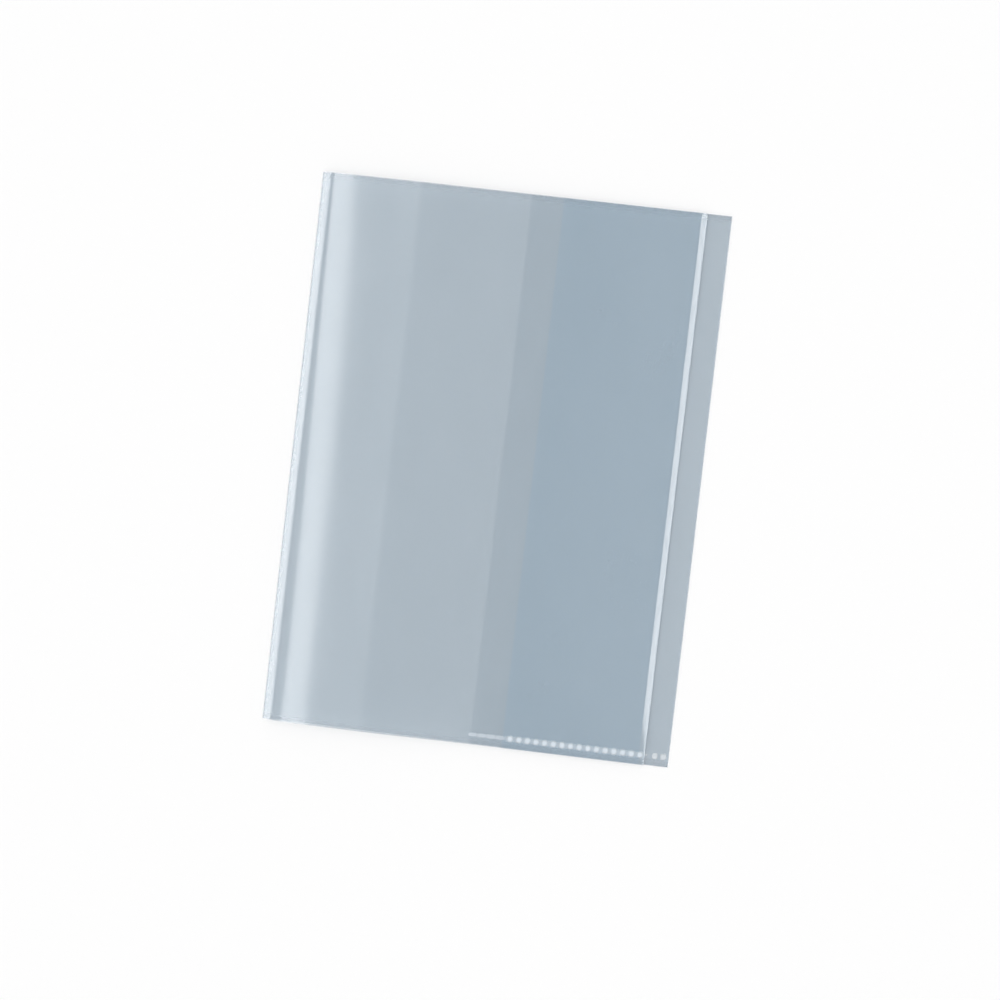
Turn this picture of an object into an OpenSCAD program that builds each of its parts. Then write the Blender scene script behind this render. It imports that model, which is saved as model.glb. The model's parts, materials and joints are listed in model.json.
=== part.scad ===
// Clear slip-on cover for a notebook, folded from one film blank and lying shut on its back panel.
// The film turns in at each fore-edge to make a pocket, and the pockets are welded at the tail.
// X runs from the spine to the fore-edges, Y from the tail to the head, and Z up.

/* [Cover] */
// Height of the cover from tail to head
cover_h = 260; // [180:1:320]
// Width of the back panel from its spine crease to its fore-edge
back_w = 193.4; // [150:0.2:240]
// Distance by which the front fore-edge lies inside the back one
front_setback = 11; // [5:0.5:20]
// Thickness of the film
film_t = 0.15; // [0.1:0.01:0.25]

/* [Spine] */
// Width of the spine strip between its two creases
spine_w = 5.9; // [4:0.1:12]
// Lean of the shut spine strip from upright, towards the fore-edge
spine_lean = 54; // [0:1:65]

/* [Pockets] */
// Width of the back flap from the back fore-edge to its free edge
back_flap_w = 94; // [60:1:110]
// Width of the front flap from the front fore-edge to its free edge
front_flap_w = 68; // [40:1:90]
// Gap for a board between the back panel and its flap
back_gap = 0.4; // [0.3:0.05:1]
// Gap for a board between the front panel and its flap
front_gap = 1.2; // [0.3:0.05:1.8]
// Clearance between the two flaps at the front fore-edge when the cover is shut
flap_clear = 0.3; // [0.2:0.05:0.6]

/* [Tail welds] */
// Distance from one weld spot to the next
weld_pitch = 4.1; // [3:0.1:6]
// Length of a weld spot along the tail
weld_len = 2.2; // [1.2:0.1:2.6]
// Width of a weld spot across the tail
weld_wide = 2; // [1.2:0.1:3]
// Corner radius of a weld spot
weld_corner_r = 0.5; // [0.2:0.05:0.6]
// Distance from the tail edge to the middle of the weld spots
weld_inset = 4.7; // [3:0.1:8]
// Least distance from the end of a row of welds to the flap's fore-edge or free edge
weld_margin = 1.6; // [1:0.1:3]

/* [Hidden] */
$fn = 48;
film_colour = [0.69, 0.73, 0.77, 0.45];
weld_colour = [0.88, 0.92, 0.96, 0.8];

// Outer radius of the bend at each fore-edge
back_bend_r = back_gap / 2 + film_t;
front_bend_r = front_gap / 2 + film_t;
// Flat width of the back panel, and level of the top of the back pocket
back_flat_w = back_w - back_bend_r;
back_top = 2 * film_t + back_gap;
// Spine creases, on the film's inner face, where the panels and the strip hinge on each other
back_crease = [0, film_t];
front_crease = back_crease + spine_w * [sin(spine_lean), cos(spine_lean)];
// Fall of the front panel from its crease until its flap clears the back pocket
front_run = back_w - front_setback - front_bend_r - front_crease.x;
front_fall = front_crease.y - front_gap - film_t - back_top - flap_clear;
front_tilt = asin(front_fall / (front_fall < 0 ? front_run + front_bend_r - front_flap_w : front_run));
front_flat_w = (front_run + front_gap / 2 * sin(front_tilt)) / cos(front_tilt);
// Middle of the shut cover across its width, which is put over the origin
middle_x = (back_w - film_t * cos(spine_lean)) / 2;

// Puts the cover over the origin
module centred() {
    translate([-middle_x, 0, 0])
        children();
}

// Carries what is drawn from the front crease out along the front panel's inner face
module on_front() {
    centred()
        translate([front_crease.x, 0, front_crease.y])
            rotate([0, front_tilt, 0])
                children();
}

// Runs a profile of x and z from the tail to the head
module tail_to_head() {
    rotate([90, 0, 0])
        linear_extrude(cover_h, center = true)
            children();
}

// Profile of a flat of film from x, with its lower face at z
module flat_profile(x, z, w) {
    translate([x, z])
        square([w, film_t]);
}

// Profile of the half tube in which the film turns round a pocket's gap
module bend_profile(gap, bend_r) {
    intersection() {
        difference() {
            circle(bend_r);
            circle(gap / 2);
        }
        translate([0, -bend_r])
            square(2 * bend_r);
    }
}

// Outline of one weld spot, with round corners
module spot_outline() {
    inner_len = weld_len - 2 * weld_corner_r;
    inner_wide = weld_wide - 2 * weld_corner_r;
    square([weld_len, inner_wide], center = true);
    square([inner_len, weld_wide], center = true);
    for (along = [-1, 1], across = [-1, 1])
        translate([along * inner_len / 2, across * inner_wide / 2])
            circle(weld_corner_r);
}

// Row of weld spots from the fore-edge at edge_x towards the free edge, as tall as the gap
module weld_row(edge_x, flap_w, gap) {
    row_w = flap_w - 2 * weld_margin - weld_len;
    for (from_edge = [0 : weld_pitch : row_w])
        translate([edge_x - weld_margin - weld_len / 2 - from_edge, weld_inset - cover_h / 2, 0])
            linear_extrude(gap)
                spot_outline();
}

// Film under the book's back board
module back_panel() {
    color(film_colour)
        centred()
            tail_to_head()
                flat_profile(0, 0, back_flat_w);
}

// Bend at the back fore-edge
module back_fore_edge() {
    color(film_colour)
        centred()
            tail_to_head()
                translate([back_flat_w, back_bend_r])
                    bend_profile(back_gap, back_bend_r);
}

// Film that lies back over the back panel
module back_flap() {
    color(film_colour)
        centred()
            tail_to_head()
                flat_profile(back_w - back_flap_w, film_t + back_gap, back_flap_w - back_bend_r);
}

// Welds that close the back pocket at the tail
module back_tail_weld() {
    color(weld_colour)
        centred()
            translate([0, 0, film_t])
                weld_row(back_w, back_flap_w, back_gap);
}

// Strip between the two spine creases, with its thickness on the outside
module spine() {
    color(film_colour)
        centred()
            tail_to_head()
                translate(back_crease)
                    rotate(90 - spine_lean)
                        flat_profile(0, 0, spine_w);
}

// Film over the book's front board
module front_panel() {
    color(film_colour)
        on_front()
            tail_to_head()
                flat_profile(0, 0, front_flat_w);
}

// Bend at the front fore-edge
module front_fore_edge() {
    color(film_colour)
        on_front()
            tail_to_head()
                translate([front_flat_w, -front_gap / 2])
                    bend_profile(front_gap, front_bend_r);
}

// Film that lies back under the front panel
module front_flap() {
    flap_flat_w = front_flap_w - front_bend_r;
    color(film_colour)
        on_front()
            tail_to_head()
                flat_profile(front_flat_w - flap_flat_w, -front_gap - film_t, flap_flat_w);
}

// Welds that close the front pocket at the tail
module front_tail_weld() {
    color(weld_colour)
        on_front()
            translate([0, 0, -front_gap])
                weld_row(front_flat_w + front_bend_r, front_flap_w, front_gap);
}

back_panel();
back_fore_edge();
back_flap();
back_tail_weld();
spine();
front_panel();
front_fore_edge();
front_flap();
front_tail_weld();
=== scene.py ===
"""Looks of a clear film notebook cover that lies shut on its back panel.

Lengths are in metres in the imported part's frame: X runs from the spine to the fore-edges,
Y from the tail to the head, and Z up. Each film is swept from its cross-section.
"""

import json
import logging
import math
from dataclasses import dataclass, field
from enum import Enum
from typing import Any

import bpy
from mathutils import Euler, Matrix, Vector


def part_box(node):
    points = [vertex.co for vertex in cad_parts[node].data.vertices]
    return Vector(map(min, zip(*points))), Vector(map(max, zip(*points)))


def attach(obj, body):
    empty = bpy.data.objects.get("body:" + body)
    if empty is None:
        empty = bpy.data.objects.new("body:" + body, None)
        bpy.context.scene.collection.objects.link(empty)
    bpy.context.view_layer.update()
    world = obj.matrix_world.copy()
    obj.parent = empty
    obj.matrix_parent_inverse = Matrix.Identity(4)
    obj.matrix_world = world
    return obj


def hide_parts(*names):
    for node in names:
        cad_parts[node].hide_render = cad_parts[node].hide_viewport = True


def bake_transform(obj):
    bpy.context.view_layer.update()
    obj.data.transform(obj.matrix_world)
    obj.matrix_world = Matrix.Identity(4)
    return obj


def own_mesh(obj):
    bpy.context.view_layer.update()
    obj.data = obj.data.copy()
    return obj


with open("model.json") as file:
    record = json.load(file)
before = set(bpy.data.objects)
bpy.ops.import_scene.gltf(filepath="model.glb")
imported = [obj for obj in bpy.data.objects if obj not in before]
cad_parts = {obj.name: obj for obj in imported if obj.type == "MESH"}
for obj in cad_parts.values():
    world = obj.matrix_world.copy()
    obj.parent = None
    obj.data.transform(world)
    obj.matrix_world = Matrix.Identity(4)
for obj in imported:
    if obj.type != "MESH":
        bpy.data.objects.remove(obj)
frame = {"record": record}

Piece = bpy.types.Object
Material = bpy.types.Material
Socket = bpy.types.NodeSocket
Triple = tuple[float, float, float]

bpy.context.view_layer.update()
MM = 0.001
HALF_TURN = math.pi
QUARTER_TURN = math.pi / 2.0
UP = Vector((0.0, 0.0, 1.0))
WHITE = (1.0, 1.0, 1.0, 1.0)
WELD_CORE = "weld_core"

log = logging.getLogger("notebook_cover")


class Body(Enum):
    """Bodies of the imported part."""

    BACK = "back_cover"
    SPINE = "spine"
    FRONT = "front_cover"


class Joint(Enum):
    """Creases that the cover opens at."""

    BACK_FOLD = "back_spine_fold"
    FRONT_FOLD = "front_spine_fold"


class Slot(Enum):
    """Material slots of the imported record."""

    FILM = "clear_film"
    WELD = "weld"


class Trait(Enum):
    """What a point of a cross-section tells the sweep."""

    SLACK = "slack"
    SPRING = "spring"
    PRESS = "press"


class Ramp(Enum):
    """How a value runs from one end of a range to the other."""

    EVEN = "LINEAR"
    SOFT = "SMOOTHSTEP"


@dataclass(frozen=True)
class Noise:
    """Scale and detail of a noise pattern."""

    scale: float
    detail: float


@dataclass(frozen=True)
class Relief:
    """Strength and depth of a bump in a finish."""

    strength: float
    depth: float


@dataclass
class Wiring:
    """Adds nodes to a tree and links them."""

    tree: bpy.types.NodeTree

    def add(
        self, kind: str, inputs: dict[Any, Any] | None = None, **settings: Any
    ) -> bpy.types.Node:
        """Adds one node.

        Args:
            kind: The node's type name.
            inputs: Socket name or number to a value, a socket or a list of sockets.
            settings: Properties of the node.

        Returns:
            The new node.
        """
        node = self.tree.nodes.new(kind)
        for name, value in settings.items():
            setattr(node, name, value)
        self.feed(node, inputs or {})
        return node

    def feed(self, node: bpy.types.Node, inputs: dict[Any, Any]) -> None:
        """Sets or links inputs of a node.

        Args:
            node: The node.
            inputs: Socket name or number to a value, a socket or a list of sockets.
        """
        for key, value in inputs.items():
            for source in value if isinstance(value, list) else [value]:
                if isinstance(source, Socket):
                    self.tree.links.new(source, node.inputs[key])
                else:
                    node.inputs[key].default_value = source

    def math(self, operation: str, first: Any, second: Any = 0.0) -> Socket:
        """Adds a Math node and returns its result."""
        return self.add("ShaderNodeMath", {0: first, 1: second}, operation=operation).outputs[0]

    def vector_math(self, operation: str, first: Any, second: Any) -> Socket:
        """Adds a Vector Math node and returns its vector."""
        inputs = {0: first, 1: second}
        return self.add("ShaderNodeVectorMath", inputs, operation=operation).outputs[0]

    def scaled(self, vector: Any, factor: Any) -> Socket:
        """Returns a vector times a number."""
        inputs = {0: vector, "Scale": factor}
        return self.add("ShaderNodeVectorMath", inputs, operation="SCALE").outputs[0]

    def stretched(self, vector: Any, scale: Triple) -> Socket:
        """Returns a texture place, scaled along each axis."""
        return self.add("ShaderNodeMapping", {"Vector": vector, "Scale": scale}).outputs[0]

    def part(self, vector: Any, axis: str) -> Socket:
        """Returns one part of a vector."""
        return self.add("ShaderNodeSeparateXYZ", {0: vector}).outputs[axis]

    def vector(self, **parts: Any) -> Socket:
        """Returns a vector made of its parts."""
        return self.add("ShaderNodeCombineXYZ", parts).outputs[0]

    def ranged(
        self, value: Any, start: Any, end: Any, first: Any = 0.0, last: Any = 1.0,
        ramp: Ramp = Ramp.SOFT,
    ) -> Socket:
        """Maps a value from one range onto another.

        Args:
            value: The value.
            start: Value at which the result is first.
            end: Value at which the result is last.
            first: Result at and before the start.
            last: Result at and past the end.
            ramp: How the result runs between the two.

        Returns:
            The result.
        """
        inputs = {"Value": value, "From Min": start, "From Max": end, "To Min": first, "To Max": last}
        return self.add("ShaderNodeMapRange", inputs, interpolation_type=ramp.value).outputs[0]

    def mixed(self, factor: Any, first: Any, second: Any, blend: str = "MIX") -> Socket:
        """Returns two colours mixed by a factor."""
        inputs = {"Factor": factor, "A": first, "B": second}
        return self.add("ShaderNodeMix", inputs, data_type="RGBA", blend_type=blend).outputs[2]

    def noise(self, vector: Any, noise: Noise) -> Socket:
        """Returns the height of a noise."""
        inputs = {"Vector": vector, "Scale": noise.scale, "Detail": noise.detail}
        return self.add("ShaderNodeTexNoise", inputs).outputs[0]

    def bump(self, height: Any, relief: Relief, **under: Any) -> Socket:
        """Returns the normal of a relief, laid on the normal under it if one is given."""
        inputs = {"Height": height, "Strength": relief.strength, "Distance": relief.depth, **under}
        return self.add("ShaderNodeBump", inputs).outputs[0]

    def moved(self, geometry: Socket, **to: Socket) -> Socket:
        """Returns geometry with its points at a new Position or moved by an Offset."""
        return self.add("GeometryNodeSetPosition", {"Geometry": geometry, **to}).outputs[0]


@dataclass
class GeometryTree:
    """A Geometry Nodes tree with named inputs."""

    name: str
    wiring: Wiring = field(init=False)
    keys: dict[str, str] = field(init=False, default_factory=dict)
    ask: dict[str, Socket] = field(init=False, default_factory=dict)

    def __post_init__(self) -> None:
        """Makes the empty tree with its geometry output."""
        tree = bpy.data.node_groups.new(self.name, "GeometryNodeTree")
        tree.interface.new_socket("Geometry", in_out="OUTPUT", socket_type="NodeSocketGeometry")
        self.wiring = Wiring(tree)

    def take(self, **kinds: str) -> None:
        """Args:
            kinds: Input name to the kind of its socket, such as Float.
        """
        tree = self.wiring.tree
        for name, kind in kinds.items():
            item = tree.interface.new_socket(name, in_out="INPUT", socket_type=f"NodeSocket{kind}")
            self.keys[name] = item.identifier
        node = tree.nodes.new("NodeGroupInput")
        self.ask = {name: node.outputs[name] for name in kinds}

    def finish(self, geometry: Socket) -> None:
        """Ends the tree in real geometry with the material that it takes.

        Args:
            geometry: What the tree has made.
        """
        real = self.wiring.add("GeometryNodeRealizeInstances", {"Geometry": geometry})
        inputs = {"Geometry": real.outputs[0], "Material": self.ask["Material"]}
        dressed = self.wiring.add("GeometryNodeSetMaterial", inputs)
        self.wiring.add("NodeGroupOutput", {0: dressed.outputs[0]})

    def run(self, name: str, mesh: bpy.types.Mesh, values: dict[str, Any]) -> Piece:
        """Runs the tree on a mesh and keeps the result as a plain mesh.

        Args:
            name: Name of the new piece.
            mesh: What the tree starts from.
            values: Input name to value.

        Returns:
            The new piece, with no modifier.
        """
        piece = bpy.data.objects.new(name, mesh)
        bpy.context.scene.collection.objects.link(piece)
        modifier = piece.modifiers.new(self.name, "NODES")
        modifier.node_group = self.wiring.tree
        for key, value in values.items():
            modifier[self.keys[key]] = value
        graph = bpy.context.evaluated_depsgraph_get()
        made = bpy.data.meshes.new_from_object(piece.evaluated_get(graph), depsgraph=graph)
        piece.modifiers.remove(modifier)
        piece.data = made
        made.name = name
        bpy.data.meshes.remove(mesh)
        return piece


def blank_material(name: str) -> tuple[Material, Wiring, bpy.types.Node]:
    """Makes a plain material.

    Args:
        name: Its name.

    Returns:
        The material, the wiring of its tree and its shader.
    """
    material = bpy.data.materials.new(name)
    material.use_nodes = True
    return material, Wiring(material.node_tree), material.node_tree.nodes["Principled BSDF"]


@dataclass(frozen=True)
class FilmFinish:
    """Clear, slightly blue film with a faint haze, fine grain and light scuffs, and painted shade
    that darkens it towards the head and tail cut edges.
    """

    half_height: float
    name: str = "clear_film"
    tint: Triple = (0.464, 0.558, 0.635)
    pale_tint: Triple = (0.503, 0.598, 0.675)
    # Painted shade at the head and tail cut edges: its dark tint, its largest share and its reach.
    edge_shade_tint: Triple = (0.22, 0.28, 0.34)
    edge_shade_share: float = 0.3
    edge_shade_reach: float = 3.5 * MM
    face_alpha: float = 0.41
    gloss_ior: float = 1.85
    smooth_roughness: float = 0.13
    scuffed_roughness: float = 0.17
    scuff: Noise = Noise(scale=1.0, detail=3.0)
    scuff_stretch: Triple = (90.0, 30.0, 90.0)
    scuff_start: float = 0.35
    scuff_end: float = 0.75
    cloud: Noise = Noise(scale=22.0, detail=3.0)
    cloud_share: float = 0.6
    grain: Noise = Noise(scale=900.0, detail=2.0)
    grain_relief: Relief = Relief(strength=0.12, depth=0.02 * MM)
    ripple: Noise = Noise(scale=40.0, detail=1.0)
    ripple_relief: Relief = Relief(strength=0.25, depth=0.06 * MM)
    layer_stretch: float = 40.0

    def material(self) -> Material:
        """Makes the finish.

        Returns:
            The new material.
        """
        material, wiring, shader = blank_material(self.name)
        material.surface_render_method = "BLENDED"
        place = wiring.add("ShaderNodeTexCoord").outputs["Object"]
        colour = self._colour(wiring, place, self._mottle(wiring, place))
        # Painted shade: how far the colour is mixed towards the dark tint near the head and tail cut
        # edges.
        cut = wiring.ranged(
            wiring.math("ABSOLUTE", wiring.part(place, "Y")),
            self.half_height - self.edge_shade_reach,
            self.half_height,
            last=self.edge_shade_share,
        )
        scuff = wiring.noise(wiring.stretched(place, self.scuff_stretch), self.scuff)
        roughness = wiring.ranged(
            scuff, self.scuff_start, self.scuff_end, self.smooth_roughness, self.scuffed_roughness,
            Ramp.EVEN,
        )
        grained = wiring.bump(wiring.noise(place, self.grain), self.grain_relief)
        rippled = wiring.bump(wiring.noise(place, self.ripple), self.ripple_relief, Normal=grained)
        wiring.feed(shader, {
            "Base Color": wiring.mixed(cut, colour, (*self.edge_shade_tint, 1.0)),
            "Roughness": roughness,
            "Normal": rippled,
            "IOR": self.gloss_ior,
            "Alpha": self.face_alpha,
        })
        return material

    def _mottle(self, wiring: Wiring, place: Socket) -> Socket:
        """Returns a mottle of clouds and grain.

        Args:
            wiring: Wiring of the material.
            place: Place on the film. It is stretched in height, so that stacked films differ.

        Returns:
            Share of the paler tint.
        """
        layered = wiring.stretched(place, (1.0, 1.0, self.layer_stretch))
        cloud = wiring.math("MULTIPLY", wiring.noise(layered, self.cloud), self.cloud_share)
        grain = wiring.math("MULTIPLY", wiring.noise(layered, self.grain), 1.0 - self.cloud_share)
        return wiring.math("ADD", cloud, grain)

    def _colour(self, wiring: Wiring, place: Socket, mottle: Socket) -> Socket:
        """Returns the film's colour, mottled between its two tints wherever it is."""
        return wiring.mixed(mottle, (*self.tint, 1.0), (*self.pale_tint, 1.0))


@dataclass(frozen=True)
class SpineFilmFinish(FilmFinish):
    """The film at the spine, which is duller and has no film above or under it."""

    name: str = "clear_spine_film"
    smooth_roughness: float = 0.2
    scuffed_roughness: float = 0.24
    layer_stretch: float = 1.0


@dataclass(frozen=True)
class PanelFilmFinish(FilmFinish):
    """The film with painted shade, a darker and slightly bluer cast, where a pocket's flap lies under
    it.
    """

    name: str = "clear_panel_film"
    pocket_shade_filter: Triple = (0.926, 0.99, 1.03)
    pocket_x: float = 0.0
    pocket_blend: float = 0.6 * MM

    def _colour(self, wiring: Wiring, place: Socket, mottle: Socket) -> Socket:
        """Paints shade over the pocket by filtering the film's colour there.

        Args:
            wiring: Wiring of the material.
            place: Place on the film.
            mottle: Share of the paler tint.

        Returns:
            The film's colour.
        """
        plain = super()._colour(wiring, place, mottle)
        across, end_x = wiring.part(place, "X"), self.pocket_x + self.pocket_blend
        over_pocket = wiring.ranged(across, self.pocket_x, end_x, ramp=Ramp.EVEN)
        # Painted shade: the colour over the pocket is multiplied by a darker, bluer filter.
        return wiring.mixed(over_pocket, plain, (*self.pocket_shade_filter, 1.0), blend="MULTIPLY")


@dataclass(frozen=True)
class WeldFinish:
    """Film that is white and dull where it is fused, partly real whitening and partly painted
    highlight, and clear at the rim of a spot.
    """

    name: str
    tint: Triple = (0.72, 0.81, 0.90)
    pale_tint: Triple = (0.86, 0.92, 0.97)
    core: float = 0.3
    core_alpha: float = 0.75
    roughness: float = 0.35
    grain: Noise = Noise(scale=2500.0, detail=2.0)
    grain_relief: Relief = Relief(strength=0.3, depth=0.05 * MM)

    def material(self) -> Material:
        """Makes the finish.

        Returns:
            The new material.
        """
        material, wiring, shader = blank_material(self.name)
        material.surface_render_method = "BLENDED"
        place = wiring.add("ShaderNodeTexCoord").outputs["Object"]
        grain = wiring.noise(place, self.grain)
        core = wiring.add("ShaderNodeAttribute", attribute_name=WELD_CORE).outputs["Fac"]
        wiring.feed(shader, {
            "Base Color": wiring.mixed(grain, (*self.tint, 1.0), (*self.pale_tint, 1.0)),
            "Roughness": self.roughness,
            "Normal": wiring.bump(grain, self.grain_relief),
            "Alpha": wiring.math("MULTIPLY", core, self.core_alpha),
        })
        return material


@dataclass(frozen=True)
class FloorFinish:
    """Matt white ground, partly lit from within where it is seen, so that shadows stay pale."""

    name: str = "white_ground"
    tint: Triple = (0.97, 0.97, 0.97)
    roughness: float = 1.0
    specular: float = 0.0
    glow: float = 1.0
    glow_share: float = 0.5

    def material(self) -> Material:
        """Makes the finish.

        Returns:
            The new material.
        """
        material, wiring, shader = blank_material(self.name)
        wiring.feed(shader, {
            "Base Color": (*self.tint, 1.0),
            "Roughness": self.roughness,
            "Specular IOR Level": self.specular,
        })
        ray = wiring.add("ShaderNodeLightPath").outputs
        mirrored = wiring.math("MAXIMUM", ray["Is Glossy Ray"], ray["Is Transmission Ray"])
        seen = wiring.math("MAXIMUM", ray["Is Camera Ray"], mirrored)
        share = wiring.math("MULTIPLY", seen, self.glow_share)
        glow = wiring.add("ShaderNodeEmission", {"Color": WHITE, "Strength": self.glow})
        inputs = {0: share, 1: shader.outputs[0], 2: glow.outputs[0]}
        lit = wiring.add("ShaderNodeMixShader", inputs)
        wiring.feed(wiring.tree.nodes["Material Output"], {"Surface": lit.outputs[0]})
        return material


@dataclass
class Profile:
    """Middle line of a film's cross-section, with the traits of each point."""

    points: list[tuple[float, float]] = field(default_factory=list)
    traits: dict[Trait, list[float]] = field(
        default_factory=lambda: {trait: [] for trait in Trait}
    )

    def add(
        self, x: float, z: float, slack: float = 0.0, spring: float = 0.0, press: float = 0.0
    ) -> None:
        """Adds one point.

        Args:
            x: Place across the cover.
            z: Height.
            slack: Share of the film's waviness here.
            spring: Height that the film has sprung up by, which eases towards the head.
            press: Distance that the tail weld presses the film down by.
        """
        self.points.append((x, z))
        for trait, value in ((Trait.SLACK, slack), (Trait.SPRING, spring), (Trait.PRESS, press)):
            self.traits[trait].append(value)

    def length(self) -> float:
        """Returns the length of the film laid flat."""
        return sum(math.dist(here, there) for here, there in zip(self.points, self.points[1:]))

    def mesh(self, name: str) -> bpy.types.Mesh:
        """Makes the mesh that the sweep reads.

        Args:
            name: Name of the piece.

        Returns:
            The points, with their traits as attributes.
        """
        mesh = bpy.data.meshes.new(f"{name}_section")
        mesh.from_pydata([(x, 0.0, z) for x, z in self.points], [], [])
        for trait, values in self.traits.items():
            mesh.attributes.new(trait.value, "FLOAT", "POINT").data.foreach_set("value", values)
        return mesh


def smooth_step(low: float, high: float, value: float) -> float:
    """Returns 0 below low, 1 above high and a smooth rise between."""
    share = min(1.0, max(0.0, (value - low) / (high - low)))
    return share * share * (3.0 - 2.0 * share)


@dataclass(frozen=True)
class CoverSizes:
    """Sizes of the cover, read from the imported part."""

    film_t: float
    height: float
    back_crease: Vector
    front_crease: Vector
    front_tilt: float
    back_edge_x: float
    back_free_x: float
    back_gap: float
    front_edge_x: float
    front_free_x: float
    front_gap: float
    weld_y: float

    @classmethod
    def from_frame(cls) -> "CoverSizes":
        """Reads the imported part.

        Returns:
            Its sizes.
        """
        record = frame["record"]
        creases = {joint["name"]: Vector(joint["pos_m"]) for joint in record["behaviour"]["joints"]}
        pocket = next(mount for mount in record["mounts"] if mount["name"] == "front_pocket")
        panel_low, panel_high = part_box("back_panel")
        film_t = panel_high.z - panel_low.z
        weld_low, weld_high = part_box("back_tail_weld")
        bend_low, bend_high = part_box("front_fore_edge")
        return cls(
            film_t=film_t,
            height=panel_high.y - panel_low.y,
            back_crease=creases[Joint.BACK_FOLD.value],
            front_crease=creases[Joint.FRONT_FOLD.value],
            front_tilt=math.atan2(pocket["axis"][2], -pocket["axis"][0]),
            back_edge_x=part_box("back_fore_edge")[1].x,
            back_free_x=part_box("back_flap")[0].x,
            back_gap=weld_high.z - weld_low.z,
            front_edge_x=bend_high.x,
            front_free_x=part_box("front_flap")[0].x,
            front_gap=bend_high.z - bend_low.z - 2.0 * film_t,
            weld_y=(weld_low.y + weld_high.y) / 2.0,
        )

    def front_point(self, along: float, above: float) -> tuple[float, float]:
        """Places a point on the front panel.

        Args:
            along: Distance from the front crease along the panel's inner face.
            above: Height above that face.

        Returns:
            The point's x and z.
        """
        cos, sin = math.cos(self.front_tilt), math.sin(self.front_tilt)
        crease = self.front_crease
        return crease.x + along * cos + above * sin, crease.z - along * sin + above * cos

    @property
    def front_up(self) -> Vector:
        """Direction out of the front panel."""
        return Vector((math.sin(self.front_tilt), 0.0, math.cos(self.front_tilt)))


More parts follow.
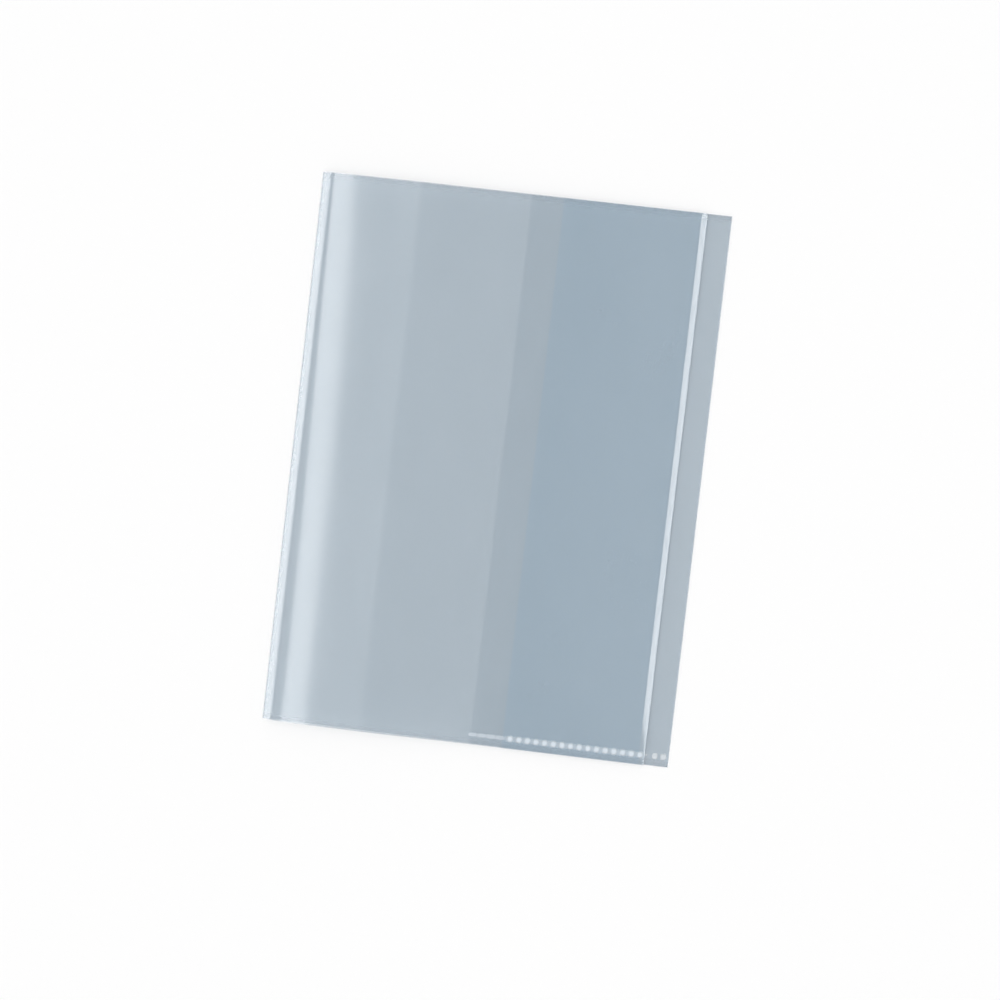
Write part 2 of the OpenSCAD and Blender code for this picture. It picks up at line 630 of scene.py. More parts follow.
@dataclass
class FilmSweep:
    """Sweeps a cross-section from the tail to the head and gives it the film's thickness."""

    sizes: CoverSizes
    rows: int = 105
    wave_height: float = 0.06 * MM
    wave_length: float = 90.0 * MM
    wave_detail: float = 1.0
    head_ease: float = 0.6
    head_power: float = 2.0
    press_reach: float = 30.0 * MM
    seed: float = 4.0
    sharp_angle: float = 0.7
    merge_distance: float = 0.001 * MM
    tree: GeometryTree = field(init=False)

    def __post_init__(self) -> None:
        """Builds the tree."""
        self.tree = GeometryTree("film_sweep")
        self.tree.take(
            Section="Geometry", Height="Float", Rows="Int", Thickness="Float", WaveHeight="Float",
            WaveLength="Float", Seed="Float", HeadEase="Float", WeldLine="Float",
            PressReach="Float", Up="Vector", Material="Material",
        )
        wiring, ask = self.tree.wiring, self.tree.ask
        count = wiring.add("GeometryNodeAttributeDomainSize", {0: ask["Section"]}, component="MESH")
        grid = wiring.add(
            "GeometryNodeMeshGrid",
            {"Size X": 1.0, "Size Y": ask["Height"], "Vertices X": count.outputs["Point Count"],
             "Vertices Y": ask["Rows"]},
        )
        place = wiring.add("GeometryNodeInputPosition").outputs[0]
        column = self._column(wiring, ask["Rows"])
        middle = self._sampled(place, column, "FLOAT_VECTOR")
        traits = {}
        for trait in Trait:
            inputs = {"Name": trait.value}
            named = wiring.add("GeometryNodeInputNamedAttribute", inputs, data_type="FLOAT")
            traits[trait] = self._sampled(named.outputs[0], column, "FLOAT")
        row_y = wiring.part(place, "Y")
        level = wiring.vector_math("ADD", middle, wiring.vector(Y=row_y))
        sunk = wiring.scaled(ask["Up"], self._sinking(row_y, traits))
        swept = wiring.moved(grid.outputs[0], Position=wiring.vector_math("SUBTRACT", level, sunk))
        wave = wiring.math("MULTIPLY", self._wave(place), traits[Trait.SLACK])
        waved = wiring.moved(swept, Offset=wiring.scaled(ask["Up"], wave))
        self.tree.finish(self._thickened(waved))

    @staticmethod
    def _column(wiring: Wiring, rows: Socket) -> Socket:
        """Returns the number of the section point that a grid point belongs to."""
        number = wiring.math("ADD", wiring.add("GeometryNodeInputIndex").outputs[0], 0.5)
        return wiring.math("FLOOR", wiring.math("DIVIDE", number, rows))

    def _sampled(self, value: Socket, column: Socket, data_type: str) -> Socket:
        """Reads a value of the section.

        Args:
            value: The value to read.
            column: Number of the point to read it at.
            data_type: Type of the value.

        Returns:
            The value at that point.
        """
        inputs = {"Geometry": self.tree.ask["Section"], "Value": value, "Index": column}
        settings = {"data_type": data_type, "domain": "POINT", "clamp": True}
        return self.tree.wiring.add("GeometryNodeSampleIndex", inputs, **settings).outputs[0]

    def _sinking(self, row_y: Socket, traits: dict[Trait, Socket]) -> Socket:
        """Works out how far the film sinks, by its spring easing at the head and its tail weld.

        Args:
            row_y: Place between the tail and the head.
            traits: Traits of the section at this column.

        Returns:
            The distance.
        """
        wiring, ask = self.tree.wiring, self.tree.ask
        from_tail = wiring.math("ADD", wiring.math("DIVIDE", row_y, ask["Height"]), 0.5)
        rise = wiring.math("POWER", from_tail, self.head_power)
        ease = wiring.math("MULTIPLY", rise, ask["HeadEase"])
        eased = wiring.math("MULTIPLY", traits[Trait.SPRING], ease)
        press_start = wiring.math("ADD", ask["WeldLine"], ask["PressReach"])
        near_weld = wiring.ranged(row_y, press_start, ask["WeldLine"])
        pressed = wiring.math("MULTIPLY", traits[Trait.PRESS], near_weld)
        return wiring.math("ADD", eased, pressed)

    def _wave(self, place: Socket) -> Socket:
        """Works out the waviness of slack film.

        Args:
            place: Place on the film.

        Returns:
            The height of the waves.
        """
        wiring, ask = self.tree.wiring, self.tree.ask
        scale = wiring.math("DIVIDE", 1.0, ask["WaveLength"])
        inputs = {"Vector": place, "W": ask["Seed"], "Scale": scale, "Detail": self.wave_detail}
        noise = wiring.add("ShaderNodeTexNoise", inputs, noise_dimensions="4D")
        return wiring.math("MULTIPLY", noise.outputs[0], ask["WaveHeight"])

    def _thickened(self, sheet: Socket) -> Socket:
        """Gives a sheet its thickness.

        Args:
            sheet: The sheet's middle.

        Returns:
            A closed film with sharp cut edges.
        """
        wiring, thickness = self.tree.wiring, self.tree.ask["Thickness"]
        normal = wiring.add("GeometryNodeInputNormal").outputs[0]
        inwards = wiring.scaled(normal, wiring.math("MULTIPLY", thickness, -0.5))
        inner = wiring.moved(sheet, Offset=inwards)
        inputs = {"Mesh": inner, "Offset Scale": thickness, "Individual": False}
        outer = wiring.add("GeometryNodeExtrudeMesh", inputs, mode="FACES")
        turned = wiring.add("GeometryNodeFlipFaces", {"Mesh": inner})
        both = wiring.add("GeometryNodeJoinGeometry", {0: [outer.outputs[0], turned.outputs[0]]})
        inputs = {"Geometry": both.outputs[0], "Distance": self.merge_distance}
        closed = wiring.add("GeometryNodeMergeByDistance", inputs)
        inputs = {"Geometry": closed.outputs[0]}
        smooth = wiring.add("GeometryNodeSetShadeSmooth", inputs, domain="FACE")
        angle = wiring.add("GeometryNodeInputMeshEdgeAngle").outputs[0]
        cut = wiring.math("GREATER_THAN", angle, self.sharp_angle)
        inputs = {"Geometry": smooth.outputs[0], "Selection": cut, "Shade Smooth": False}
        return wiring.add("GeometryNodeSetShadeSmooth", inputs, domain="EDGE").outputs[0]

    def film(
        self, name: str, profile: Profile, up: Vector, material: Material, *nodes: str
    ) -> Piece:
        """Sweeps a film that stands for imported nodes.

        Args:
            name: Name of the piece.
            profile: Its cross-section.
            up: Direction in which the film waves.
            material: Its finish.
            nodes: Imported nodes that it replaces.

        Returns:
            The piece.
        """
        values = {
            "Height": self.sizes.height,
            "Rows": self.rows,
            "Thickness": self.sizes.film_t,
            "WaveHeight": self.wave_height,
            "WaveLength": self.wave_length,
            "Seed": self.seed,
            "HeadEase": self.head_ease,
            "WeldLine": self.sizes.weld_y,
            "PressReach": self.press_reach,
            "Up": tuple(up),
            "Material": material,
        }
        piece = self.tree.run(name, profile.mesh(name), values)
        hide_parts(*nodes)
        return piece


@dataclass
class WeldRow:
    """Lays a row of pillow-shaped weld spots, each with a dimple, along a pocket's tail."""

    square: float = 0.72
    edge: float = 0.6
    dimple: float = 0.12
    dimple_start: float = 0.6
    scale_spread: float = 0.04
    seed: int = 7
    segments: int = 24
    rings: int = 12
    tree: GeometryTree = field(init=False)

    def __post_init__(self) -> None:
        """Builds the tree."""
        self.tree = GeometryTree("weld_row")
        self.tree.take(
            Row="Geometry", Count="Int", Start="Vector", Step="Vector", Length="Float",
            Wide="Float", Tall="Float", Core="Float", Tilt="Vector", Turn="Float", Spread="Float",
            Seed="Int", Material="Material",
        )
        wiring, ask = self.tree.wiring, self.tree.ask
        line = wiring.add(
            "GeometryNodeMeshLine",
            {"Count": ask["Count"], "Start Location": ask["Start"], "Offset": ask["Step"]},
            mode="OFFSET",
        )
        least_turn = wiring.math("MULTIPLY", ask["Turn"], -1.0)
        turn = self._random(wiring, least_turn, ask["Turn"], ask["Seed"])
        least = wiring.math("SUBTRACT", 1.0, ask["Spread"])
        most = wiring.math("ADD", 1.0, ask["Spread"])
        size = self._random(wiring, least, most, wiring.math("ADD", ask["Seed"], 1.0))
        spots = wiring.add("GeometryNodeInstanceOnPoints", {
            "Points": line.outputs[0],
            "Instance": self._spot(),
            "Rotation": wiring.vector_math("ADD", ask["Tilt"], wiring.vector(Z=turn)),
            "Scale": wiring.vector(X=size, Y=size, Z=1.0),
        })
        self.tree.finish(spots.outputs[0])

    @staticmethod
    def _random(wiring: Wiring, low: Any, high: Any, seed: Any) -> Socket:
        """Returns a random number between low and high."""
        inputs = {2: low, 3: high, "Seed": seed}
        return wiring.add("FunctionNodeRandomValue", inputs, data_type="FLOAT").outputs[1]

    def _spot(self) -> Socket:
        """Draws a ball out to a rounded square with a dimple in both faces.

        Returns:
            One spot, which holds how far each point is in its fused core.
        """
        wiring, ask = self.tree.wiring, self.tree.ask
        inputs = {"Segments": self.segments, "Rings": self.rings, "Radius": 1.0}
        ball = wiring.add("GeometryNodeMeshUVSphere", inputs)
        place = wiring.add("GeometryNodeInputPosition").outputs[0]
        parts = wiring.add("ShaderNodeSeparateXYZ", {0: place}).outputs
        flat = wiring.vector(X=parts["X"], Y=parts["Y"])
        reach = wiring.add("ShaderNodeVectorMath", {0: flat}, operation="LENGTH").outputs["Value"]
        core = wiring.ranged(wiring.math("POWER", reach, self.square), ask["Core"], 1.0, 1.0, 0.0)
        marked = wiring.add(
            "GeometryNodeStoreNamedAttribute",
            {"Geometry": ball.outputs[0], "Name": WELD_CORE, "Value": core},
            data_type="FLOAT",
            domain="POINT",
        )
        drawn = {}
        for axis, power in (("X", self.square), ("Y", self.square), ("Z", self.edge)):
            far = wiring.math("POWER", wiring.math("ABSOLUTE", parts[axis]), power)
            drawn[axis] = wiring.math("MULTIPLY", far, wiring.math("SIGN", parts[axis]))
        level = wiring.math("ABSOLUTE", parts["Z"])
        hollow = wiring.ranged(level, self.dimple_start, 1.0, 1.0, 1.0 - self.dimple)
        drawn["Z"] = wiring.math("MULTIPLY", drawn["Z"], hollow)
        half = wiring.scaled(wiring.vector(X=ask["Length"], Y=ask["Wide"], Z=ask["Tall"]), 0.5)
        sized = wiring.vector_math("MULTIPLY", wiring.vector(**drawn), half)
        shaped = wiring.moved(marked.outputs[0], Position=sized)
        return wiring.add("GeometryNodeSetShadeSmooth", {"Geometry": shaped}).outputs[0]

    def spots(
        self, name: str, first: Vector, last: Vector, count: int, size: Vector, tilt: float,
        turn: float, finish: WeldFinish,
    ) -> Piece:
        """Lays one row of spots.

        Args:
            name: Name of the piece.
            first: Middle of the first spot.
            last: Middle of the last spot.
            count: Number of spots.
            size: Length, width and height of a spot.
            tilt: Slope of the row.
            turn: Most that a spot is turned in the row's plane.
            finish: Finish of the spots.

        Returns:
            The piece.
        """
        values = {
            "Count": count,
            "Start": tuple(first),
            "Step": tuple((last - first) / (count - 1)),
            "Length": size.x,
            "Wide": size.y,
            "Tall": size.z,
            "Core": finish.core,
            "Tilt": (0.0, tilt, 0.0),
            "Turn": turn,
            "Spread": self.scale_spread,
            "Seed": self.seed,
            "Material": finish.material(),
        }
        return self.tree.run(name, bpy.data.meshes.new(f"{name}_row"), values)


@dataclass
class Workshop:
    """What the sub-assemblies share: sizes, sweeps and finishes."""

    sizes: CoverSizes
    sweep: FilmSweep
    welds: WeldRow
    film: Material
    spine_film: Material
    panel_film: Material
    spot_wide: float = 4.2 * MM
    spot_turn: float = 0.12
    packed_length: float = 2.2 * MM
    spot_pitch: float = 4.1 * MM
    press_share: float = 0.85
    fold_support: float = 0.25 * MM
    flap_steps: int = 24
    lip_width: float = 0.7 * MM
    lip_rise: float = 0.05 * MM
    lip_steps: int = 4

    def flap_stations(self, fold: float, free: float) -> list[float]:
        """Spaces the points of a flap, closest at both ends.

        Args:
            fold: Place of its fold.
            free: Place of its free edge.

        Returns:
            Places of the points, from the fold to the free edge.
        """
        near, far = fold - self.fold_support, free + self.lip_width
        even = [near + (far - near) * step / self.flap_steps for step in range(self.flap_steps)]
        lip_steps = range(self.lip_steps + 1)
        return even + [far - self.lip_width * step / self.lip_steps for step in lip_steps]

    def lip(self, from_free_edge: float) -> float:
        """Returns how far a flap's free edge curls up at a distance from that edge."""
        return self.lip_rise * max(0.0, 1.0 - from_free_edge / self.lip_width) ** 2

    def weld_spots(
        self, name: str, node: str, middle_z: list[float], tilt: float, length: float, tall: float,
        finish: WeldFinish,
    ) -> Piece:
        """Lays the spots of one pocket where its packed welds are.

        Args:
            name: Name of the piece.
            node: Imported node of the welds.
            middle_z: Height of the row's middle at its spine end and at its fore-edge end.
            tilt: Slope of the row.
            length: Length of a spot along the row.
            tall: Height of a spot.
            finish: Finish of the spots.

        Returns:
            The piece.
        """
        low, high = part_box(node)
        inset = self.packed_length / 2.0
        first = Vector((low.x + inset, self.sizes.weld_y, middle_z[0]))
        last = Vector((high.x - inset, self.sizes.weld_y, middle_z[1]))
        count = round((last.x - first.x) / self.spot_pitch) + 1
        size = Vector((length, self.spot_wide, tall))
        piece = self.welds.spots(name, first, last, count, size, tilt, self.spot_turn, finish)
        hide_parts(node)
        return piece


@dataclass
class BackCover:
    """Back panel, its fore-edge bend, its pocket flap and the flap's welds."""

    shop: Workshop
    crease_reach: float = 0.6 * MM
    fold_width: float = 0.18 * MM
    spot_length: float = 3.9 * MM
    spot_emboss: float = 0.06 * MM
    # Back weld spots: whitened fused film, tinted whiter still as painted highlight for the glint of
    # the raised spots.
    weld_whitening_and_highlight: WeldFinish = WeldFinish(
        "whitened_back_weld_and_highlight", tint=(0.86, 0.92, 0.97), pale_tint=(0.97, 0.99, 1.0), core=0.45,
        core_alpha=0.55,
    )
    panel_steps: int = 48
    bend_steps: int = 16
    slack_margin: float = 12.0 * MM

    def profile(self) -> Profile:
        """Draws the film from the spine round the fore-edge to the flap's free edge.

        Returns:
            Its cross-section.
        """
        sizes = self.shop.sizes
        profile = Profile()
        half_rise = (sizes.back_gap + sizes.film_t) / 2.0
        start_x = sizes.back_crease.x + self.crease_reach
        fold_x = sizes.back_edge_x - sizes.film_t / 2.0 - self.fold_width
        middle_z = sizes.film_t / 2.0 + half_rise
        press = sizes.back_gap * self.shop.press_share
        end_x = fold_x - self.shop.fold_support
        for step in range(self.panel_steps + 1):
            x = start_x + (end_x - start_x) * step / self.panel_steps
            profile.add(x, sizes.film_t / 2.0, self._slack(x, start_x, end_x))
        for step in range(self.bend_steps + 1):
            turn = HALF_TURN * (step / self.bend_steps - 0.5)
            x = fold_x + self.fold_width * math.cos(turn)
            rise = math.sin(turn)
            profile.add(x, middle_z + half_rise * rise, press=press * (1.0 + rise) / 2.0)
        for x in self.shop.flap_stations(fold_x, sizes.back_free_x):
            z = middle_z + half_rise + self.shop.lip(x - sizes.back_free_x)
            profile.add(x, z, self._slack(x, start_x, end_x), press=press)
        return profile

    def _slack(self, x: float, start_x: float, end_x: float) -> float:
        """Returns the share of waviness, which fades out towards the crease and the fore-edge."""
        return smooth_step(0.0, self.slack_margin, min(x - start_x, end_x - x))

    def build(self) -> list[Piece]:
        """Builds and dresses the film and its welds.

        Returns:
            The pieces.
        """
        sizes = self.shop.sizes
        profile = self.profile()
        film = self.shop.sweep.film(
            "back_film", profile, UP, self.shop.film, "back_panel", "back_fore_edge", "back_flap"
        )
        profile.length()
        gap = sizes.back_gap * (1.0 - self.shop.press_share)
        tall = gap + 2.0 * sizes.film_t + self.spot_emboss
        middle_z = [tall / 2.0] * 2
        welds = self.shop.weld_spots(
            "back_welds", "back_tail_weld", middle_z, 0.0, self.spot_length, tall, self.weld_whitening_and_highlight
        )
        for piece in (film, welds):
            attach(piece, Body.BACK.value)
        return [film, welds]


@dataclass
class FrontCover:
    """Front panel with its sprung shoulder, its fore-edge roll, its pocket flap and its welds."""

    shop: Workshop
    spring_rise: float = 2.5 * MM
    spring_length: float = 9.0 * MM
    crease_rise: float = 0.2 * MM
    crease_length: float = 0.7 * MM
    ridge_at: float = 43.2 * MM
    ridge_rise: float = 1.0 * MM
    ridge_half: float = 1.8 * MM
    swell_rise: float = 0.3 * MM
    swell_length: float = 18.0 * MM
    roll_width: float = 2.75 * MM
    roll_inset: float = 0.35 * MM
    roll_start: float = 0.52
    spot_length: float = 3.9 * MM
    spot_emboss: float = 0.16 * MM
    # Front weld spots: whitened fused film, partly painted highlight for the glint of the raised
    # spots.
    weld_whitening_and_highlight: WeldFinish = WeldFinish("whitened_front_weld_and_highlight")
    mark_pitch: float = 4.0 * MM
    mark_lead: float = 1.2 * MM
    mark_overlap: float = 1.2
    mark_wide: float = 3.4 * MM
    mark_emboss: float = 0.11 * MM
    # Painted highlight along the weld row: pale marks between the pocket's spots and a pale line left
    # of the pocket.
    gap_highlight_finish: WeldFinish = WeldFinish("weld_gap_highlight", core=0.5, core_alpha=0.31)
    line_wide: float = 2.6 * MM
    line_highlight_finish: WeldFinish = WeldFinish("weld_line_highlight", core=0.5, core_alpha=0.45)
    panel_steps: int = 84
    panel_crowding: float = 1.8
    roll_steps: int = 14
    slack_margin: float = 25.0 * MM
    pocket_margin: float = 60.0 * MM
    flat_share: float = 0.06

    def along(self, x: float) -> float:
        """Returns the distance along the panel from the crease to a place across the cover."""
        sizes = self.shop.sizes
        return (x - sizes.front_crease.x) / math.cos(sizes.front_tilt)

    @property
    def roll_at(self) -> float:
        """Distance along the panel to where its roll starts."""
        edge_x = self.shop.sizes.front_edge_x - self.shop.sizes.film_t / 2.0
        return self.along(edge_x - self.roll_inset) - self.roll_width

    @property
    def free_at(self) -> float:
        """Distance along the panel to the flap's free edge."""
        return self.along(self.shop.sizes.front_free_x)

    def _shoulder(self, along: float, length: float) -> float:
        """Returns a rise from the crease, over about a length, that falls off to the roll."""
        return 1.0 - along / self.roll_at - math.exp(-along / length)

    def spring(self, along: float) -> float:
        """Returns the part of the panel's bow that springs up from the crease."""
        return self.spring_rise * self._shoulder(along, self.spring_length)

    def bow(self, along: float) -> float:
        """Works out how far the panel stands above its flat.

        Args:
            along: Distance from the crease.

        Returns:
            The height of its spring, crease, ridge and swell there.
        """
        before = along / self.ridge_at
        after = (self.roll_at - along) / (self.roll_at - self.ridge_at)
        climb = max(0.0, 1.0 - (self.ridge_at - along) / self.swell_length) ** 2
        swell = after if along > self.ridge_at else climb
        ridge = self.ridge_rise * min(before, after) + self.swell_rise * swell
        crease = self.crease_rise * self._shoulder(along, self.crease_length)
        return self.spring(along) + crease + ridge

    def press(self, along: float) -> float:
        """Returns how far the tail weld presses the bow down at a distance from the crease."""
        in_pocket = smooth_step(self.free_at - self.pocket_margin, self.free_at, along)
        return self.bow(along) * in_pocket

    def panel_profile(self) -> Profile:
        """Draws the panel from the crease to the roll.

        Returns:
            Its cross-section.
        """
        sizes = self.shop.sizes
        profile = Profile()
        for along in self._panel_stations():
            held = smooth_step(0.0, self.slack_margin, along)
            profile.add(
                *sizes.front_point(along, sizes.film_t / 2.0 + self.bow(along)),
                slack=held * smooth_step(0.0, self.slack_margin, self.roll_at - along),
                spring=self.spring(along),
                press=self.press(along),
            )
        return profile

    def _panel_stations(self) -> list[float]:
        """Spaces the panel's points, closest near the crease and at the ridge.

        Returns:
            Their distances from the crease.
        """
        steps = range(self.panel_steps + 1)
        even = [self.roll_at * (step / self.panel_steps) ** self.panel_crowding for step in steps]
        ridge = [self.ridge_at - self.ridge_half, self.ridge_at, self.ridge_at + self.ridge_half]
        clear = [along for along in even if abs(along - self.ridge_at) > 2.0 * self.ridge_half]
        return sorted(clear + ridge)

    def _roll(self) -> list[tuple[float, float]]:
        """Draws the roll from its crease round to the flap.

        Returns:
            Its points, as shares of its width and of half its height.
        """
        start_cos, start_sin = math.cos(self.roll_start), math.sin(self.roll_start)
        points = []
        for step in range(self.roll_steps):
            turn = self.roll_start * (1.0 - step / self.roll_steps)
            out = (math.cos(turn) - start_cos) / (1.0 - start_cos)
            points.append((out, math.sin(turn) / start_sin))
        for step in range(self.roll_steps + 1):
            turn = QUARTER_TURN * step / self.roll_steps
            points.append((math.cos(turn), -math.sin(turn)))
        return points

    def pocket_profile(self) -> Profile:
        """Draws the roll and the flap, to the flap's free edge.

        Returns:
            Their cross-section.
        """
        sizes = self.shop.sizes
        profile = Profile()
        roll_rise = (sizes.front_gap + sizes.film_t) / 2.0
        press = -sizes.front_gap * self.shop.press_share
        for out, rise in self._roll():
            along = self.roll_at + self.roll_width * out
            above = roll_rise * rise - sizes.front_gap / 2.0
            profile.add(*sizes.front_point(along, above), press=press * (1.0 - rise) / 2.0)
        for along in self.shop.flap_stations(self.roll_at, self.free_at):
            above = self.shop.lip(along - self.free_at) - sizes.front_gap - sizes.film_t / 2.0
            slack = smooth_step(0.0, self.slack_margin, self.roll_at - along)
            profile.add(*sizes.front_point(along, above), slack=slack, press=press)
        return profile

    def weld_highlight_strip(
        self, name: str, start: float, end: float, wide: float, finish: WeldFinish
    ) -> Piece:
        """Lays a painted highlight, a pale line along the weld row on the panel, as marks that run
        together.

        Args:
            name: Name of the piece.
            start: Distance along the panel to where the line starts.
            end: Distance along the panel to where it ends.
            wide: Width of the line.
            finish: Finish of the line.

        Returns:
            The piece.
        """
        sizes = self.shop.sizes
        count = round((end - start) / self.mark_pitch)
        step = (end - start) / count
        ends = []
        for along in (start + step / 2.0, end - step / 2.0):
            above = sizes.film_t / 2.0 + self.bow(along) - self.press(along)
            x, z = sizes.front_point(along, above)
            ends.append(Vector((x, sizes.weld_y, z)))
        first, last = ends
        tilt = math.atan2(first.z - last.z, last.x - first.x)
        half_faded = (1.0 + finish.core) / 2.0
        length = self.mark_overlap * step / half_faded
        size = Vector((length, wide, sizes.film_t + 2.0 * self.mark_emboss))
        marks = self.shop.welds.spots(name, first, last, count, size, tilt, 0.0, finish)
        return marks

    def all_weld_highlights(self) -> list[Piece]:
        """Lays the painted highlights along the weld row: a line left of the pocket and pale ground
        between the pocket's spots.

        Returns:
            The pieces.
        """
        line_start = self.along(self.shop.sizes.back_free_x) - self.mark_lead
        line_end = self.free_at + self.mark_lead
        return [
            self.weld_highlight_strip(
                "front_panel_weld_highlight", line_start, line_end, self.line_wide, self.line_highlight_finish
            ),
            self.weld_highlight_strip(
                "front_pocket_weld_highlight", line_end, self.roll_at, self.mark_wide, self.gap_highlight_finish
            ),
        ]

    def build(self) -> list[Piece]:
        """Builds and dresses the panel, the pocket, its welds and the painted highlights along the
        weld row.

        Returns:
            The pieces.
        """
        sizes = self.shop.sizes
        panel_profile, pocket_profile = self.panel_profile(), self.pocket_profile()
        panel = self.shop.sweep.film(
            "front_film", panel_profile, sizes.front_up, self.shop.panel_film, "front_panel"
        )
        pocket = self.shop.sweep.film(
            "front_pocket_film", pocket_profile, sizes.front_up, self.shop.film,
            "front_fore_edge", "front_flap",
        )
        for piece, profile in ((panel, panel_profile), (pocket, pocket_profile)):
            profile.length()
        gap = sizes.front_gap * (1.0 - self.shop.press_share)
        tall = gap + 2.0 * (sizes.film_t + self.spot_emboss)
        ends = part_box("front_tail_weld")
        middle_z = [sizes.front_point(self.along(end.x), -gap / 2.0)[1] for end in ends]
        welds = self.shop.weld_spots(
            "front_welds", "front_tail_weld", middle_z, sizes.front_tilt, self.spot_length, tall,
            self.weld_whitening_and_highlight,
        )
        marks = self.all_weld_highlights()
        for piece in (panel, pocket, welds, *marks):
            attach(piece, Body.FRONT.value)
        anchor = sizes.front_point(0.0, sizes.film_t / 2.0)
        for piece in (panel, *marks):
            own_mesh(piece)
        return [panel, pocket, welds, *marks]


@dataclass
class Spine:
    """Strip between the creases, in two halves: one curves round the back crease, the other ends at
    the front crease.
    """

    shop: Workshop
    back_reach: float = 0.6 * MM
    crease_zone: float = 0.6 * MM
    front_zone: float = 1.0 * MM
    belly: float = 0.15 * MM
    fillet_steps: int = 14
    half_steps: int = 12
    fillet_share: float = 0.1
    tangent_step: float = 0.01

    def strip(self, share: float) -> Vector:
        """Places a point on the strip's middle line, which bulges out by its belly.

        Args:
            share: Share of the way from the back crease to the front crease.

        Returns:
            The point.
        """
        sizes = self.shop.sizes
        chord = sizes.front_crease - sizes.back_crease
        out = Vector((-chord.z, 0.0, chord.x)).normalized()
        bulge = sizes.film_t / 2.0 + 4.0 * self.belly * share * (1.0 - share)
        return sizes.back_crease + chord * share + out * bulge

    def back_half(self) -> Profile:
        """Draws the film from the back panel round its crease to the strip's middle.

        Returns:
            Its cross-section.
        """
        sizes = self.shop.sizes
        start = Vector((sizes.back_crease.x + self.back_reach, 0.0, sizes.film_t / 2.0))
        end = self.strip(self.fillet_share)
        ahead = (self.strip(self.fillet_share + self.tangent_step) - end).normalized()
        corner = end - ahead * (end.z - start.z) / ahead.z
        profile = Profile()
        for step in range(self.fillet_steps):
            share = step / self.fillet_steps
            rest = 1 - share
            point = start * rest**2 + corner * 2 * share * rest + end * share**2
            profile.add(point.x, point.z)
        for step in range(self.half_steps + 1):
            share = self.fillet_share + (0.5 - self.fillet_share) * step / self.half_steps
            point = self.strip(share)
            profile.add(point.x, point.z)
        return profile

    def front_half(self) -> Profile:
        """Draws the film from the strip's middle to the front crease.

        Returns:
            Its cross-section.
        """
        profile = Profile()
        for step in range(self.half_steps):
            point = self.strip(0.5 + 0.5 * step / self.half_steps)
            profile.add(point.x, point.z)
        profile.add(*self.shop.sizes.front_point(0.0, self.shop.sizes.film_t / 2.0))
        return profile

    def build(self) -> list[Piece]:
        """Builds and dresses the two halves.

        Returns:
            The pieces.
        """
        sizes, finish = self.shop.sizes, self.shop.spine_film
        back = self.shop.sweep.film("spine_back_film", self.back_half(), UP, finish, "spine")
        front = self.shop.sweep.film("spine_front_film", self.front_half(), UP, finish, "spine")
        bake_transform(back)
        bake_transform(front)
        return [back, front]


@dataclass(frozen=True)
class Softbox:
    """A flat studio light that either lights the ground or is mirrored in the film."""

    name: str
    place: Triple
    aim: Triple
    size: tuple[float, float]
    radiance: float
    lights_ground: bool = False

    def build(self) -> None:
        """Adds the light, unseen by the camera."""
        light = bpy.data.lights.new(self.name, "AREA")
        light.shape = "RECTANGLE"
        light.size, light.size_y = self.size
        light.energy = self.radiance * math.pi * self.size[0] * self.size[1]
        lamp = bpy.data.objects.new(self.name, light)
        lamp.location = self.place
        ray = Vector(self.aim) - Vector(self.place)
        lamp.rotation_euler = ray.to_track_quat("-Z", "Y").to_euler()
        lamp.visible_camera = False
        lamp.visible_diffuse = self.lights_ground
        lamp.visible_glossy = not self.lights_ground
        bpy.context.scene.collection.objects.link(lamp)


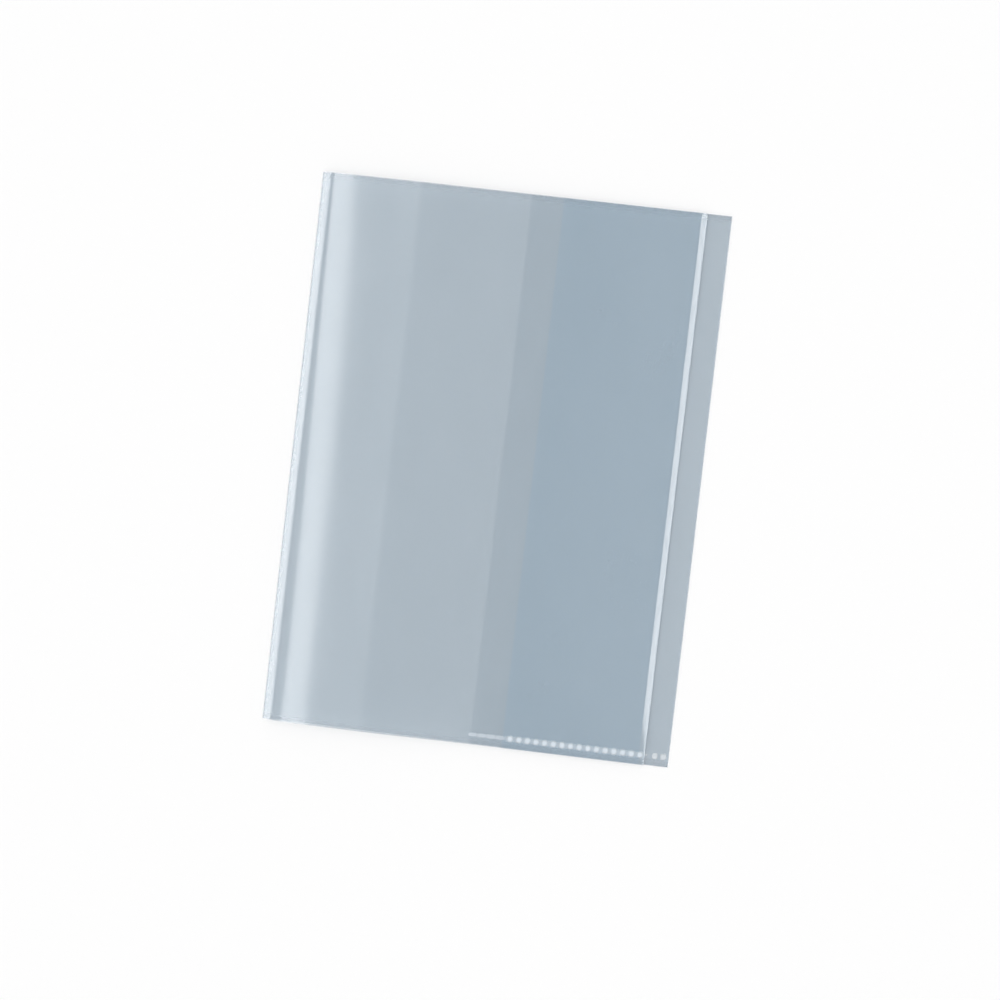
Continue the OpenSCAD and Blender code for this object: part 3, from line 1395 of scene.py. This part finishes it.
@dataclass
class Studio:
    """White ground, soft light from all round, softboxes and the camera."""

    ground_size: float = 8.0
    ground_drop: float = 0.2 * MM
    sky: float = 0.69
    lens_mm: float = 90.0
    sensor_mm: float = 36.0
    camera_place: Triple = (0.0736, 0.0294, 1.175)
    camera_turn: Triple = (-1.713, 3.615, 6.54)
    see_through_layers: int = 32
    softboxes: tuple[Softbox, ...] = (
        Softbox("ground_light", (0.0, 0.0, 2.5), (0.0, 0.0, 0.0), (3.0, 3.0), 1.05, True),
        Softbox("shoulder_light", (-0.555, 0.0, 1.3), (-0.555, 0.0, 0.0), (0.37, 1.3), 5.2),
        Softbox("panel_light", (-0.28, 0.0, 1.3), (-0.28, 0.0, 0.0), (0.16, 1.3), 0.5),
        Softbox("crease_light", (-1.1, 0.0, 1.02), (0.0, 0.0, 0.0), (1.3, 0.86), 0.6),
        Softbox("spine_light", (-1.2, 0.0, 0.2), (0.0, 0.0, 0.2), (1.8, 0.4), 7.6),
        Softbox("fore_edge_light", (0.889, 0.0, 0.945), (0.0, 0.0, 0.0), (1.4, 1.54), 6.2),
        Softbox("edge_light", (0.125, 0.0, 1.3), (0.125, 0.0, 0.0), (0.06, 1.3), 0.5),
    )

    def build(self) -> None:
        """Builds the ground, the lights and the camera."""
        self._ground()
        self._sky()
        for softbox in self.softboxes:
            softbox.build()
        self._camera()
        scene = bpy.context.scene
        scene.view_settings.view_transform = "Standard"
        scene.cycles.transparent_max_bounces = self.see_through_layers

    def _ground(self) -> None:
        """Lays the ground just under the film."""
        half, z = self.ground_size / 2.0, -self.ground_drop
        corners = [(-half, -half, z), (half, -half, z), (half, half, z), (-half, half, z)]
        mesh = bpy.data.meshes.new("ground")
        mesh.from_pydata(corners, [], [(0, 1, 2, 3)])
        mesh.materials.append(FloorFinish().material())
        ground = bpy.data.objects.new("ground", mesh)
        bpy.context.scene.collection.objects.link(ground)

    def _sky(self) -> None:
        """Lights the scene evenly from all round."""
        world = bpy.data.worlds.new("studio")
        world.use_nodes = True
        tree = world.node_tree
        Wiring(tree).feed(tree.nodes["Background"], {"Color": WHITE, "Strength": self.sky})
        bpy.context.scene.world = world

    def _camera(self) -> None:
        """Sets the camera almost straight above the cover."""
        data = bpy.data.cameras.new("camera")
        data.lens = self.lens_mm
        data.sensor_width = self.sensor_mm
        camera = bpy.data.objects.new("camera", data)
        camera.location = self.camera_place
        camera.rotation_euler = Euler([math.radians(turn) for turn in self.camera_turn], "XYZ")
        bpy.context.scene.collection.objects.link(camera)
        bpy.context.scene.camera = camera


def main() -> None:
    """Builds the studio and the cover's sub-assemblies in order."""
    logging.basicConfig(level=logging.INFO, format="%(name)s: %(message)s")
    Studio().build()
    sizes = CoverSizes.from_frame()
    half_height = sizes.height / 2.0
    shop = Workshop(
        sizes=sizes,
        sweep=FilmSweep(sizes),
        welds=WeldRow(),
        film=FilmFinish(half_height).material(),
        spine_film=SpineFilmFinish(half_height).material(),
        panel_film=PanelFilmFinish(half_height, pocket_x=sizes.front_free_x).material(),
    )
    for assembly in (BackCover(shop), Spine(shop), FrontCover(shop)):
        for piece in assembly.build():
            log.info("%s: %d faces", piece.name, len(piece.data.polygons))


if __name__ == "__main__":
    main()
